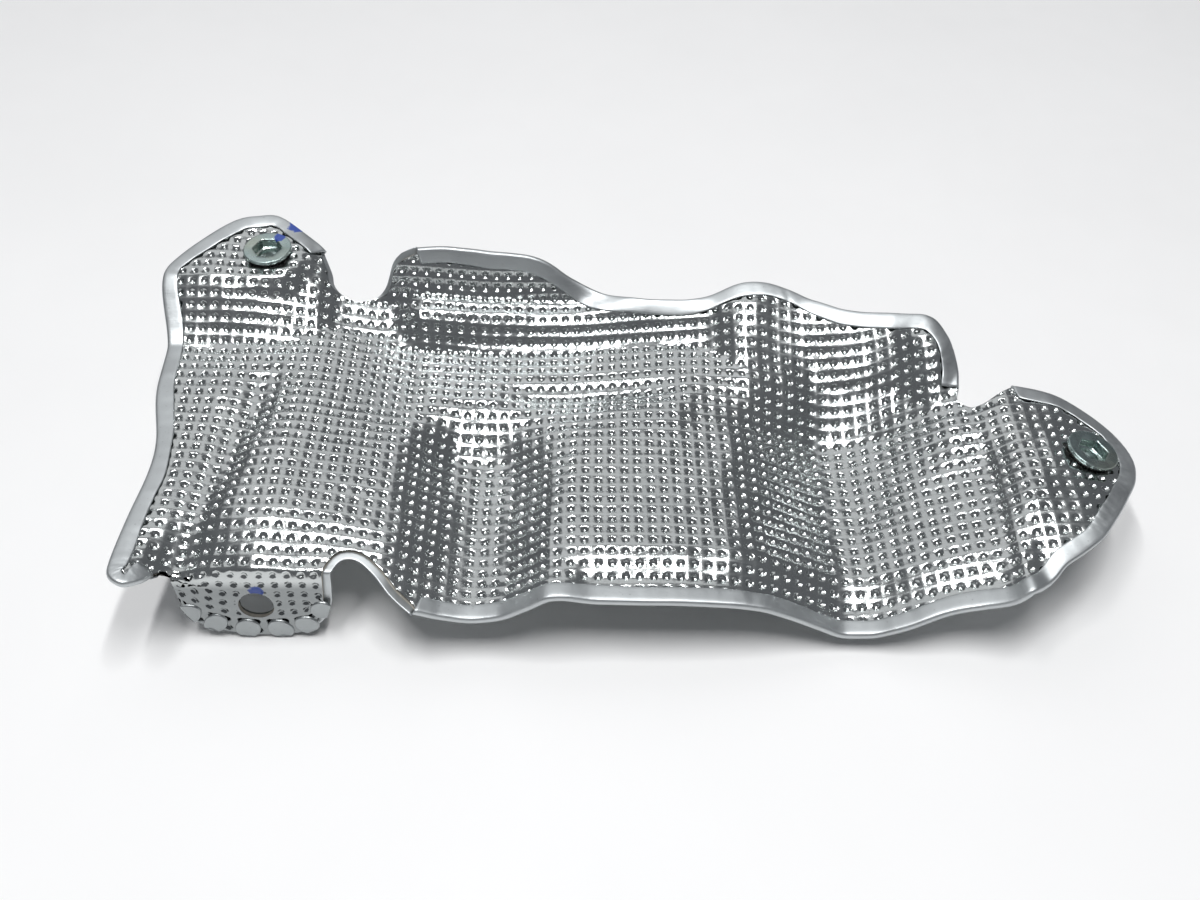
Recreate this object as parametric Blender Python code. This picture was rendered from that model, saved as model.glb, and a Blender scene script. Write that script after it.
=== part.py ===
"""Heat shield for an exhaust manifold: two embossed sheets round an insulating core, with two damped bushes.

The shield is drawn flat on plan axes (x along the engine, y across it, millimetres), lifted by a height
field of named forms, and its front lug is then turned down. Everything ends up in metres, z up.
"""
import math

import bmesh
import bpy
import numpy as np
from mathutils import Matrix, Vector
from mathutils.geometry import delaunay_2d_cdt

MM = 0.001

# Sheets, measured down from the visible face.
INNER_TOP = 0.0
INNER_BOTTOM = -0.4
CORE_TOP = -0.7
CORE_BOTTOM = -1.5
OUTER_TOP = -1.8
OUTER_BOTTOM = -2.3
HEM_UNDER = 0.3
HEM_TOP = 0.8
HEM_WALL = 0.6
EDGE_GAP = 1.0
HEM_WIDTH = 8.0
GRID = 11.0
EDGE_STEP = 8.5

# Cross sections of the form: (x, height) knots along the engine.
FRONT_SECTION = [
    (-185, 9), (-165, 9), (-150, 8.5), (-122, 10.3), (-105, 7.5), (-90, 4.5), (-77, 1.5), (-66, -5),
    (-56, -11), (-46, -13.2), (-37, -11.8), (-27, -6.5), (-17, -1), (-9, 0.3), (20, 0.3), (45, -1.6),
    (57, -4), (68, -9), (79, -14.5), (90, -19), (98, -18.5), (108, -14.8), (122, -8.5), (137, -4),
    (147, -1), (153, 4), (160, 8.8), (167, 9.5), (177, 9), (190, 5.5), (207, 1),
]
BACK_SECTION = [
    (-185, 10), (-150, 9.5), (-120, 9), (-105, 6.6), (-90, 3.5), (-75, 0.6), (-45, 0.2), (-15, -0.8),
    (0, 0.5), (30, 2.8), (45, 3), (60, 3.5), (75, 1), (90, -3), (105, -2), (120, 3), (135, 9),
    (150, 10), (170, 9), (190, 5.5), (207, 1),
]
# The wall that climbs to the rear edge: where it starts, how far it runs and how much it climbs.
WALL_FOOT = [
    (-185, 66), (-150, 68), (-120, 73), (-108, 80), (-90, 78), (-75, 73), (-10, 75), (20, 77), (45, 72),
    (60, 60), (75, 62), (95, 56), (120, 52), (135, 40), (150, 60), (210, 80),
]
WALL_RUN = [
    (-185, 27), (-150, 24), (-120, 30), (-108, 22), (-90, 22), (-75, 11), (-10, 13), (20, 16), (45, 18),
    (60, 26), (95, 28), (120, 26), (150, 20), (210, 20),
]
WALL_RISE = [
    (-185, 17), (-150, 18.5), (-120, 16), (-108, 9), (-90, 9), (-75, 13), (-10, 10), (20, 13), (45, 12),
    (60, 14.5), (75, 17), (95, 18.5), (120, 14), (135, 8), (145, 5), (152, 0), (210, 0),
]

# The flange turned up along the left of the rear edge.
FLANGE_FOOT_Y = 92.8
FLANGE_BEND = 3.0
FLANGE_GRADE = 2.5

# Lesser forms: the trough and the fall of the left land, the groove behind the middle, the slopes of the
# left ear and the rear shelf, the right corner's drop and filled crease, and the lip along the front.
TROUGH_DEPTH = 3.6
LAND_FALL = 6.0
GROOVE_DEPTH = 3.2
EAR_GRADE = 0.1
SHELF_GRADE = 0.25
CORNER_DROP = 10.0
CORNER_FILL = 6.0
LIP_DROP = 4.5

# Outline in plan, clockwise from the left of the front lug. A run that is hemmed says so.
LUG_FOLD_Y = -45.0
LUG_FOLD_ANGLE = math.radians(86)
LUG_BEND_RADIUS = 3.0
LUG_X = (-154.5, -92.0)
OUTLINE = [
    (True, [
        (-157, -50), (-160, -55), (-165, -58), (-170.5, -55), (-172, -48), (-171, -28), (-169, -5),
        (-170, 12), (-176, 38), (-178, 66), (-182, 90), (-177, 104), (-160, 123), (-148, 128),
        (-136, 127), (-117, 112),
    ]),
    (False, [
        (-117, 112), (-113, 104), (-111.5, 98), (-106, 94.5), (-98, 95), (-92.5, 98), (-88, 101.5),
        (-77, 101.5),
    ]),
    (True, [
        (-77, 101.5), (-50, 101.5), (-26, 101), (-12, 99.5), (0, 97), (14, 93), (28, 91.5), (43, 92),
        (66, 96), (78, 94), (90, 89), (104, 83), (124, 78), (136, 74), (142, 67), (145.5, 56),
        (145, 47),
    ]),
    (False, [(145, 47), (144, 42), (149, 37), (155, 38), (164, 43)]),
    (True, [
        (164, 43), (176, 40), (189, 34), (200, 23), (205, 10), (203, -2), (196, -14), (189, -24),
        (182, -32.5), (174, -38.5), (167, -43), (162, -48), (155, -54), (147, -56), (136, -54.5),
        (126, -54.5), (110, -56.5), (90, -56), (70, -55), (50, -55.5), (20, -56), (-10, -56),
        (-30, -57), (-50, -57), (-66, -58),
    ]),
    (False, [
        (-66, -58), (-74, -52), (-81, -44.5), (-87, -40), (-92, -40.5), (-95.5, -46), (-96.5, -56),
        (-98, -66), (-103, -75), (-112, -80), (-124, -82), (-136, -79.5), (-146, -73), (-151.5, -64),
        (-153, -54), (-154, -46.5), (-157, -50),
    ]),
]

# Fastening points: plan centre, slope of the flat seat round it, radius kept flat.
BUSHES = {
    "left": {"x": -140.0, "y": 105.0, "slope": (0.0, 0.05)},
    "right": {"x": 186.5, "y": 7.0, "slope": (-0.26, 0.0)},
}
SEAT_FLAT = 12.5
SEAT_BLEND = 21.0
SEAT_RING = 11.5
LUG_HOLE = (-124.4, -65.5)
LUG_HOLE_RADIUS = 6.5

# Bush: a flanged collar through the sheets, held by a washer, with a damping ring on each side.
SHEET_HOLE_RADIUS = 7.4
COLLAR_RADIUS = 6.9
COLLAR_HEX_FLATS = 10.6
COLLAR_BORE_RADIUS = 4.25
FLANGE_RADIUS = 10.0
FLANGE_THICKNESS = 1.6
FLANGE_STAND = 1.6
RING_INNER_RADIUS = 7.3
UPPER_RING_RADIUS = 9.2
LOWER_RING_RADIUS = 9.8
LOWER_RING_HEIGHT = 1.8
WASHER_RADIUS = 10.0
WASHER_THICKNESS = 1.2
WELL_DEPTH = 3.9
PART_GAP = 0.3


def section(x, knots):
    """Height along a section through (x, height) knots, without overshoot between them."""
    xs = np.array([knot[0] for knot in knots], float)
    zs = np.array([knot[1] for knot in knots], float)
    run = np.diff(xs)
    grade = np.diff(zs) / run
    slope = np.zeros_like(zs)
    slope[0] = grade[0]
    slope[-1] = grade[-1]
    for i in range(1, len(xs) - 1):
        if grade[i - 1] * grade[i] > 0:
            before = 2 * run[i] + run[i - 1]
            after = run[i] + 2 * run[i - 1]
            slope[i] = (before + after) / (before / grade[i - 1] + after / grade[i])
    x = np.clip(x, xs[0], xs[-1])
    i = np.clip(np.searchsorted(xs, x, side="right") - 1, 0, len(run) - 1)
    t = (x - xs[i]) / run[i]
    start = (2 * t**3 - 3 * t**2 + 1) * zs[i] + (t**3 - 2 * t**2 + t) * run[i] * slope[i]
    end = (3 * t**2 - 2 * t**3) * zs[i + 1] + (t**3 - t**2) * run[i] * slope[i + 1]
    return start + end


def ease(value, low, high):
    """0 below low, 1 above high and smooth between."""
    t = np.clip((value - low) / (high - low), 0, 1)
    return t * t * (3 - 2 * t)


def bell(value, half_width):
    return np.exp(-((value / half_width) ** 2))


def free_form(x, y):
    """The pressed form before the bush seats are flattened into it."""
    blend_y = 33 + 17 * ease(x, 5, 60)
    back = ease(y, blend_y - 17, blend_y + 14)
    z = section(x, FRONT_SECTION) * (1 - back) + section(x, BACK_SECTION) * back
    trough_x = -136 - 0.17 * (40 - y)
    z = z - TROUGH_DEPTH * bell(x - trough_x, 8) * ease(y, -62, -40) * (1 - ease(y, 42, 60))
    z = z - GROOVE_DEPTH * bell(y - 49, 7) * ease(x, -45, -22) * (1 - ease(x, 14, 40))
    foot = section(x, WALL_FOOT)
    run = section(x, WALL_RUN)
    climb = np.clip((y - foot) / run, 0, 1)
    z = z + section(x, WALL_RISE) * 0.5 * (climb + ease(climb, 0, 1))
    beyond = np.clip(y - foot - run, 0, None)
    z = z + EAR_GRADE * beyond * (1 - ease(x, -112, -95))
    z = z + SHELF_GRADE * np.clip(beyond, 0, 10) * ease(x, -95, -80)
    flange = ease(x, -98, -84) * (1 - ease(x, -28, 10))
    up = np.clip(y - FLANGE_FOOT_Y, 0, None)
    bend = np.clip(up, 0, FLANGE_BEND)
    z = z + FLANGE_GRADE * flange * (bend**2 / (2 * FLANGE_BEND) + up - bend)
    z = z - CORNER_DROP * ease(-y, 12, 52) * ease(x, 150, 160)
    z = z + CORNER_FILL * bell(np.hypot(x - 140, (y - 28) / 1.3), 14)
    fall = LAND_FALL - 3 * ease(x, -110, -92)
    z = z - fall * ease(-y, 20, 48) * ease(x, -168, -150) * (1 - ease(x, -75, -55))
    return z - LIP_DROP * ease(-y, 33, 47) * ease(x, -20, 0) * (1 - ease(x, 135, 160))


def height(x, y):
    """Height of the visible face over the plan."""
    z = free_form(x, y)
    for bush in BUSHES.values():
        centre = free_form(np.array([bush["x"]]), np.array([bush["y"]]))[0]
        dx = x - bush["x"]
        dy = y - bush["y"]
        seat = centre + bush["slope"][0] * dx + bush["slope"][1] * dy
        keep = ease(np.hypot(dx, dy), SEAT_FLAT, SEAT_BLEND)
        z = seat + (z - seat) * keep
    return z


def placed(x, y):
    """Point of the visible face for a plan position, with the lug turned down."""
    in_lug = (x > LUG_X[0]) & (x < LUG_X[1]) & (y < LUG_FOLD_Y)
    past = np.where(in_lug, LUG_FOLD_Y - y, 0.0)
    turned = np.clip(past / LUG_BEND_RADIUS, 0, LUG_FOLD_ANGLE)
    straight = np.clip(past - LUG_FOLD_ANGLE * LUG_BEND_RADIUS, 0, None)
    y_bent = LUG_FOLD_Y - LUG_BEND_RADIUS * np.sin(turned) - straight * math.cos(LUG_FOLD_ANGLE)
    drop = LUG_BEND_RADIUS * (1 - np.cos(turned)) + straight * math.sin(LUG_FOLD_ANGLE)
    y_flat = np.where(in_lug, LUG_FOLD_Y, y)
    z = height(x, y_flat) - drop
    return np.stack([x, np.where(in_lug, y_bent, y), z], axis=-1)


def surface(plan):
    """Points and unit normals of the visible face at plan positions."""
    step = 0.25
    x = plan[:, 0]
    y = plan[:, 1]
    point = placed(x, y)
    along_x = placed(x + step, y) - placed(x - step, y)
    along_y = placed(x, y + step) - placed(x, y - step)
    normal = np.cross(along_x, along_y)
    return point, normal / np.linalg.norm(normal, axis=1, keepdims=True)


class Blank:
    """The flat blank: its second axis is the length measured over the form, not across the plan."""

    def __init__(self):
        self.xs = np.arange(-190.0, 214.0, 1.5)
        self.ys = np.arange(-95.0, 140.0, 0.5)
        grid_x, grid_y = np.meshgrid(self.xs, self.ys, indexing="ij")
        points = placed(grid_x, grid_y)
        steps = np.linalg.norm(np.diff(points, axis=1), axis=2)
        self.run = np.concatenate([np.zeros((len(self.xs), 1)), np.cumsum(steps, axis=1)], axis=1)
        middle = np.searchsorted(self.ys, 0.0)
        self.run = self.run - self.run[:, middle : middle + 1]

    def column(self, x):
        place = np.clip((x - self.xs[0]) / (self.xs[1] - self.xs[0]), 0, len(self.xs) - 1.001)
        first = int(place)
        share = place - first
        return self.run[first] * (1 - share) + self.run[first + 1] * share

    def from_plan(self, plan):
        return np.array([(x, np.interp(y, self.ys, self.column(x))) for x, y in plan])

    def to_plan(self, blank):
        return np.array([(x, np.interp(t, self.column(x), self.ys)) for x, t in blank])


def curve_through(points, step):
    """Evenly spaced points on a smooth curve through the given ones, ends included."""
    points = np.array(points, float)
    padded = np.vstack([2 * points[0] - points[1], points, 2 * points[-1] - points[-2]])
    dense = []
    for i in range(1, len(padded) - 2):
        p0, p1, p2, p3 = padded[i - 1 : i + 3]
        for t in np.linspace(0, 1, 12, endpoint=False):
            bend = (2 * p0 - 5 * p1 + 4 * p2 - p3) * t**2 + (3 * p1 - p0 - 3 * p2 + p3) * t**3
            dense.append(0.5 * (2 * p1 + (p2 - p0) * t + bend))
    dense.append(points[-1])
    dense = np.array(dense)
    run = np.concatenate([[0], np.cumsum(np.linalg.norm(np.diff(dense, axis=0), axis=1))])
    count = max(2, round(run[-1] / step))
    wanted = np.linspace(0, run[-1], count + 1)
    return np.stack([np.interp(wanted, run, dense[:, k]) for k in (0, 1)], axis=1)


def rim_of(blank):
    """The outline on the blank, and whether the edge that leaves each point is hemmed."""
    rim = []
    hemmed = []
    for is_hem, points in OUTLINE:
        run = curve_through(blank.from_plan(points), EDGE_STEP)[:-1]
        rim.extend(run)
        hemmed.extend([is_hem] * len(run))
    return np.array(rim), hemmed


def inset(rim, depth):
    """The rim moved inwards, by less where a corner is too tight for it."""
    before = np.roll(rim, 1, axis=0)
    after = np.roll(rim, -1, axis=0)
    tangent = after - before
    tangent = tangent / np.linalg.norm(tangent, axis=1, keepdims=True)
    inward = np.stack([tangent[:, 1], -tangent[:, 0]], axis=1)
    edge_in = rim - before
    edge_out = after - rim
    turn = -(edge_in[:, 0] * edge_out[:, 1] - edge_in[:, 1] * edge_out[:, 0])
    length = np.linalg.norm(edge_in, axis=1) * np.linalg.norm(edge_out, axis=1)
    angle = np.arcsin(np.clip(turn / length, -1, 1))
    radius = np.where(angle > 0.05, np.linalg.norm(after - before, axis=1) / 2 / np.maximum(angle, 0.05), 999)
    depths = np.minimum(depth, 0.62 * radius)
    depths = np.minimum(depths, (np.roll(depths, 1) + depths + np.roll(depths, -1)) / 3 + 0.4)
    return rim + inward * depths[:, None]


def circle(centre, radius, count):
    turns = np.linspace(0, 2 * math.pi, count, endpoint=False)
    return np.stack([centre[0] + radius * np.cos(turns), centre[1] + radius * np.sin(turns)], axis=1)


def inside(points, loop):
    """Which points lie inside a closed loop."""
    found = np.zeros(len(points), bool)
    for (x0, y0), (x1, y1) in zip(loop, np.roll(loop, -1, axis=0)):
        crosses = (points[:, 1] < y0) != (points[:, 1] < y1)
        if y1 != y0:
            found ^= crosses & (points[:, 0] < x0 + (points[:, 1] - y0) / (y1 - y0) * (x1 - x0))
    return found


def near_loop(points, loop, within):
    """Which points come closer than this to a closed loop."""
    close = np.zeros(len(points), bool)
    for start, end in zip(loop, np.roll(loop, -1, axis=0)):
        edge = end - start
        share = np.clip((points - start) @ edge / max(edge @ edge, 1e-9), 0, 1)
        close |= np.linalg.norm(points - start - share[:, None] * edge, axis=1) < within
    return close


def hole_loops():
    """Holes through the sheets, in plan: one at each bush and one in the lug."""
    loops = []
    for bush in BUSHES.values():
        ring = circle((0, 0), SHEET_HOLE_RADIUS, 20)
        cosine = 1 / math.hypot(1, bush["slope"][0])
        loops.append(ring * [cosine, 1] + [bush["x"], bush["y"]])
    loops.append(circle(LUG_HOLE, LUG_HOLE_RADIUS, 20))
    return loops


class Layout:
    """One triangulation of the blank, which all the sheets share so that they nest."""

    def __init__(self):
        blank = Blank()
        self.rim, self.hemmed = rim_of(blank)
        self.count = len(self.rim)
        wall = inset(self.rim, HEM_WALL)
        near = inset(self.rim, EDGE_GAP)
        far = inset(self.rim, HEM_WIDTH)
        holes = [blank.from_plan(loop) for loop in hole_loops()]
        grid_x, grid_t = np.meshgrid(np.arange(-180.0, 210.0, GRID), np.arange(-100.0, 170.0, GRID))
        grid = np.stack([grid_x.ravel(), grid_t.ravel()], axis=1)
        keep = inside(grid, far) & ~near_loop(grid, far, 0.45 * GRID)
        for loop in holes:
            keep &= ~inside(grid, loop) & ~near_loop(grid, loop, 0.42 * GRID)
        seats = []
        for bush in BUSHES.values():
            seats.append(blank.from_plan(circle((bush["x"], bush["y"]), SEAT_RING, 16)))
            keep &= ~inside(grid, seats[-1]) & ~near_loop(grid, seats[-1], 0.4 * GRID)
        grid = grid[keep]
        loops = [far, *holes]
        field = np.vstack([*loops, *seats, grid])
        edges = []
        start = 0
        for loop in loops:
            edges += [(start + k, start + (k + 1) % len(loop)) for k in range(len(loop))]
            start += len(loop)
        found = delaunay_2d_cdt([Vector(point) for point in field], edges, [], 0, 1e-5)
        assert len(found[0]) == len(field)
        triangles = np.array([face for face in found[2]])
        originals = np.array([ids[0] for ids in found[3]])
        triangles = originals[triangles]
        centres = field[triangles].mean(axis=1)
        solid = inside(centres, far)
        for loop in holes:
            solid &= ~inside(centres, loop)
        triangles = triangles[solid]
        first, second, third = (field[triangles[:, k]] for k in range(3))
        side = np.cross(second - first, third - first)
        triangles[side < 0] = triangles[side < 0][:, ::-1]
        self.plan = blank.to_plan(np.vstack([self.rim, wall, near, field]))
        self.point, self.normal = surface(self.plan)
        self.faces = [tuple(int(i) + 3 * self.count for i in face) for face in triangles]
        self.holes = []
        start = 4 * self.count
        for loop in holes:
            self.holes.append([start + k for k in range(len(loop))])
            start += len(loop)

    def band(self, row):
        """Faces between two neighbouring rows of the edge, counted from the rim inwards."""
        faces = []
        for k in range(self.count):
            ahead = (k + 1) % self.count
            a = row * self.count + k
            b = row * self.count + ahead
            c = (row + 1) * self.count + ahead
            d = (row + 1) * self.count + k
            faces += [(a, c, b), (a, d, c)]
        return faces

    def at(self, level):
        return self.point + self.normal * level


def material(name, colour, roughness, metallic):
    made = bpy.data.materials.new(name)
    made.use_nodes = True
    shader = made.node_tree.nodes["Principled BSDF"]
    shader.inputs["Base Color"].default_value = (*colour, 1.0)
    shader.inputs["Roughness"].default_value = roughness
    shader.inputs["Metallic"].default_value = metallic
    return made


def make_object(name, mesh, look, matrix, smooth):
    built = bpy.data.objects.new(name, mesh)
    bpy.context.scene.collection.objects.link(built)
    built.matrix_world = matrix
    mesh.materials.append(look)
    if smooth:
        mesh.shade_smooth()
    return built


def mesh_from(name, points, faces):
    mesh = bpy.data.meshes.new(name)
    mesh.from_pydata([tuple(point) for point in np.asarray(points) * MM], [], faces)
    shape = bmesh.new()
    shape.from_mesh(mesh)
    bmesh.ops.delete(shape, geom=[v for v in shape.verts if not v.link_faces], context="VERTS")
    bmesh.ops.recalc_face_normals(shape, faces=shape.faces)
    shape.to_mesh(mesh)
    shape.free()
    return mesh


def loop_wall(loop, shift):
    """Faces joining a loop on the top skin to the same loop on the bottom skin."""
    faces = []
    for k in range(len(loop)):
        a = loop[k]
        b = loop[(k + 1) % len(loop)]
        faces.append((a, b, b + shift, a + shift))
    return faces


def plain_sheet(layout, name, top, bottom, first_row):
    """A sheet whose edge is the given row of the layout, with plain edges."""
    shift = len(layout.point)
    points = np.vstack([layout.at(top), layout.at(bottom)])
    skin = list(layout.faces)
    for row in range(first_row, 3):
        skin += layout.band(row)
    faces = skin + [tuple(i + shift for i in face[::-1]) for face in skin]
    edge = [first_row * layout.count + k for k in range(layout.count)]
    faces += loop_wall(edge, shift)
    for loop in layout.holes:
        faces += loop_wall(loop, shift)
    return mesh_from(name, points, faces)


def hemmed_sheet(layout, name):
    """The outer sheet, whose hemmed edges fold up round the others and lie on the visible face."""
    count = layout.count
    shift = len(layout.point)
    under = layout.at(HEM_UNDER)
    over = layout.at(HEM_TOP)
    points = np.vstack([layout.at(OUTER_TOP), layout.at(OUTER_BOTTOM), under, over])
    inner_skin = list(layout.faces) + layout.band(1) + layout.band(2)
    rim_band = layout.band(0)
    faces = [tuple(i + shift for i in face[::-1]) for face in inner_skin + rim_band]
    faces += inner_skin
    for loop in layout.holes:
        faces += loop_wall(loop, shift)
    low = 2 * shift
    high = 3 * shift
    for k in range(count):
        ahead = (k + 1) % count
        if not layout.hemmed[k]:
            faces += rim_band[2 * k : 2 * k + 2]
            faces.append((k, ahead, ahead + shift, k + shift))
            continue
        # The section of the fold, from its inside corner to its outer edge.
        fold = [count, count + low, 2 * count + low, 3 * count + low]
        fold += [3 * count + high, 2 * count + high, count + high, high, shift]
        for start, end in zip(fold, fold[1:]):
            faces.append((k + start, ahead + start, ahead + end))
            faces.append((k + start, ahead + end, k + end))
    # A hem's cut end, wherever a hemmed edge meets a plain one.
    for k in range(count):
        if layout.hemmed[k] == layout.hemmed[k - 1]:
            continue
        end = [0, count, count + low, 2 * count + low, 3 * count + low]
        end += [3 * count + high, 2 * count + high, count + high, high, shift]
        faces.append([k + place for place in end])
    return mesh_from(name, points, faces)


def turned(profile, count):
    """Points and faces of a closed (radius, height) profile turned round the z axis."""
    points = []
    faces = []
    size = len(profile)
    for step in range(count):
        angle = 2 * math.pi * step / count
        points += [(r * math.cos(angle), r * math.sin(angle), z) for r, z in profile]
        ahead = (step + 1) % count
        for k in range(size):
            after = (k + 1) % size
            faces.append((step * size + k, ahead * size + k, ahead * size + after, step * size + after))
    return points, faces


def prism(flats, low, high):
    """A hexagonal prism, as points and faces."""
    radius = flats / math.sqrt(3)
    points = []
    for z in (low, high):
        for step in range(6):
            angle = math.radians(60 * step)
            points.append((radius * math.cos(angle), radius * math.sin(angle), z))
    faces = [tuple(range(5, -1, -1)), tuple(range(6, 12))]
    faces += [(k, (k + 1) % 6, 6 + (k + 1) % 6, 6 + k) for k in range(6)]
    return points, faces


def build_bush(side, seat, looks):
    """The pieces of one bush, each turned about the seat's own axis."""
    flange_low = FLANGE_STAND
    flange_high = FLANGE_STAND + FLANGE_THICKNESS
    ring_top = OUTER_BOTTOM - PART_GAP
    ring_bottom = ring_top - LOWER_RING_HEIGHT
    washer_top = ring_bottom - PART_GAP
    washer_bottom = washer_top - WASHER_THICKNESS
    soft = 0.35
    collar = [
        (COLLAR_BORE_RADIUS, washer_bottom),
        (COLLAR_RADIUS - soft, washer_bottom),
        (COLLAR_RADIUS, washer_bottom + soft),
        (COLLAR_RADIUS, flange_low),
        (FLANGE_RADIUS - soft, flange_low),
        (FLANGE_RADIUS, flange_low + soft),
        (FLANGE_RADIUS, flange_high - soft),
        (FLANGE_RADIUS - soft, flange_high),
        (COLLAR_BORE_RADIUS, flange_high),
    ]
    points, faces = turned(collar, 24)
    mesh = mesh_from(f"collar_{side}", points, faces)
    body = make_object(f"collar_{side}", mesh, looks["zinc"], seat, True)
    well_points, well_faces = prism(COLLAR_HEX_FLATS, flange_high - WELL_DEPTH, flange_high + 2)
    well = make_object(f"well_{side}", mesh_from(f"well_{side}", well_points, well_faces), looks["zinc"], seat, False)
    well.hide_render = True
    well.display_type = "WIRE"
    cut = body.modifiers.new("hex_well", "BOOLEAN")
    cut.object = well
    cut.operation = "DIFFERENCE"
    cut.solver = "EXACT"
    rings = {
        f"damping_ring_upper_{side}": (UPPER_RING_RADIUS, INNER_TOP + PART_GAP, flange_low - PART_GAP, "mesh"),
        f"damping_ring_lower_{side}": (LOWER_RING_RADIUS, ring_bottom, ring_top, "mesh"),
        f"retaining_washer_{side}": (WASHER_RADIUS, washer_bottom, washer_top, "zinc"),
    }
    for name, (radius, low, high, look) in rings.items():
        soft_ring = 0.25 * (high - low)
        profile = [
            (RING_INNER_RADIUS, low),
            (radius - soft_ring, low),
            (radius, low + soft_ring),
            (radius, high - soft_ring),
            (radius - soft_ring, high),
            (RING_INNER_RADIUS, high),
        ]
        points, faces = turned(profile, 24)
        make_object(name, mesh_from(name, points, faces), looks[look], seat, True)


def seat_matrix(bush, origin):
    """Where a bush stands: its seat's centre, with z along the seat's normal."""
    centre = height(np.array([bush["x"]]), np.array([bush["y"]]))[0]
    normal = Vector((-bush["slope"][0], -bush["slope"][1], 1.0)).normalized()
    along = Vector((1.0, 0.0, bush["slope"][0])).normalized()
    across = normal.cross(along)
    turn = Matrix((along, across, normal)).transposed().to_4x4()
    place = Vector((bush["x"], bush["y"], centre)) - Vector(origin)
    return Matrix.Translation(place * MM) @ turn


def main():
    for old in list(bpy.data.objects):
        bpy.data.objects.remove(old)
    looks = {
        "inner": material("embossed_aluminium", (0.62, 0.63, 0.64), 0.3, 1.0),
        "outer": material("hemmed_aluminium", (0.56, 0.57, 0.58), 0.38, 1.0),
        "core": material("insulating_fibre", (0.72, 0.70, 0.64), 0.95, 0.0),
        "zinc": material("zinc_plate", (0.50, 0.55, 0.54), 0.32, 1.0),
        "mesh": material("knitted_steel_wire", (0.33, 0.32, 0.31), 0.55, 1.0),
    }
    layout = Layout()
    hull = np.vstack([layout.at(HEM_TOP), layout.at(OUTER_BOTTOM)])
    low = hull.min(axis=0)
    high = hull.max(axis=0)
    origin = ((low[0] + high[0]) / 2, (low[1] + high[1]) / 2, low[2])
    base = Matrix.Translation(Vector(origin) * -MM)
    make_object("outer_sheet", hemmed_sheet(layout, "outer_sheet"), looks["outer"], base, False)
    core = plain_sheet(layout, "insulation_core", CORE_TOP, CORE_BOTTOM, 2)
    make_object("insulation_core", core, looks["core"], base, False)
    inner = plain_sheet(layout, "inner_sheet", INNER_TOP, INNER_BOTTOM, 2)
    make_object("inner_sheet", inner, looks["inner"], base, False)
    for side, bush in BUSHES.items():
        build_bush(side, seat_matrix(bush, origin), looks)


main()
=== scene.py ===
"""Looks of the exhaust manifold heat shield: a dimpled aluminium panel with hemmed edges and two bushes."""

import math

import bmesh
import bpy
import numpy as np
from mathutils import Matrix, Vector


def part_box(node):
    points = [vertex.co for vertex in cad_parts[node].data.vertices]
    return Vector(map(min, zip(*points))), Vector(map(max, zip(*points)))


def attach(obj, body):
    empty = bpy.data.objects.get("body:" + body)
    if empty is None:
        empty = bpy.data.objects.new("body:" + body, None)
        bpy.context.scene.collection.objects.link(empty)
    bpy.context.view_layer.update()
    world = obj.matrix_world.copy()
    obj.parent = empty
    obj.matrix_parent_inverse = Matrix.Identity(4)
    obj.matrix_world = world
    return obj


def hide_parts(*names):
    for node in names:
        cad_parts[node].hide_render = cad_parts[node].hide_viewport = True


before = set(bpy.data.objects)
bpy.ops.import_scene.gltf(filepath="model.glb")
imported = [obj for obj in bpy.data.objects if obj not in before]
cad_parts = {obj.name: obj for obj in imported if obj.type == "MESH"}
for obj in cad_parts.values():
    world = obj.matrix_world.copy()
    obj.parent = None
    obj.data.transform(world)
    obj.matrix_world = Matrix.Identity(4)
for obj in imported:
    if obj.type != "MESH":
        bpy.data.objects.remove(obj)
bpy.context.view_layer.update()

MM = 0.001

# Levels across the thickness, in millimetres from the visible face.
FACE = 0.0
MAT_TOP = -1.5
OUTER_TOP = -1.8
OUTER_BOTTOM = -2.3
HEM_UNDER = 0.3
HEM_TOP = 0.8

# Edges, in millimetres in from the rim: the hem, its foot, the roll of its fold, the bare strip where there
# is no hem, and where the inner sheet ends (under a hem, over a strip, or where the strip shows).
HEM_WIDTH = 8.0
HEM_FOOT = 5.5
ROLL_DEPTH = 1.5
STRIP_WIDTH = 4.0
STRIP_SHARE = 0.8  # of the room that a tight corner leaves
EDGE_GAP = 1.0
BARE_GAP = 0.7
SHOWN_EDGE = 2.8
BACK_LAP = 0.3
RIM_STEP = 1.25

# The outer sheet's edge shows in the left rear notch, behind this y, and beside the lug, right of this x.
NOTCH_SHOWN_Y = 97.0
LUG_SHOWN_X = -104.0

# Embossing: one dimple in each cell, with rings of (radius in pitches, share of the depth, slope in depths
# per pitch), and the scatter of their places, in pitches, and strengths.
PITCH = 5.0
DIMPLE_DEPTH = 1.05
BUMP_DEPTH = 0.7
DIMPLE_RINGS = [(0.37, 0.03, -0.7), (0.275, 0.25, -3.8), (0.175, 0.72, -4.3), (0.075, 0.97, -1.2)]
BUMP_RINGS = [(0.31, 0.30, -4.5), (0.15, 0.93, -2.5)]
FLAT_RINGS = [(0.3, 0.0, 0.0)]
BUMP_FADE = (0.5, 3.0)
PLACE_SCATTER = 0.018
STRENGTH_SCATTER = 0.08

# The range of the lattice's nodes along and across the part, and of those that hold cells.
LATTICE_I = (-40, 47)
LATTICE_J = (-24, 40)
CELLS_I = (-39, 45)
CELLS_J = (-22, 38)

# Round a cell's border anticlockwise, in half pitches from its centre.
CELL_RING = [(-1, -1), (0, -1), (1, -1), (1, 0), (1, 1), (0, 1), (-1, 1), (-1, 0)]

# The nodes that a link joins, by its step along an axis of the lattice: (from, to).
LINK_ENDS = {
    -1: (slice(1, None), slice(0, -1)),
    0: (slice(None), slice(None)),
    1: (slice(0, -1), slice(1, None)),
}

# Lowest corner of the outer sheet on the plan axes, which ties them to the CAD.
SHEET_LOW = (-181.997, -58.0, -30.872)

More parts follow.
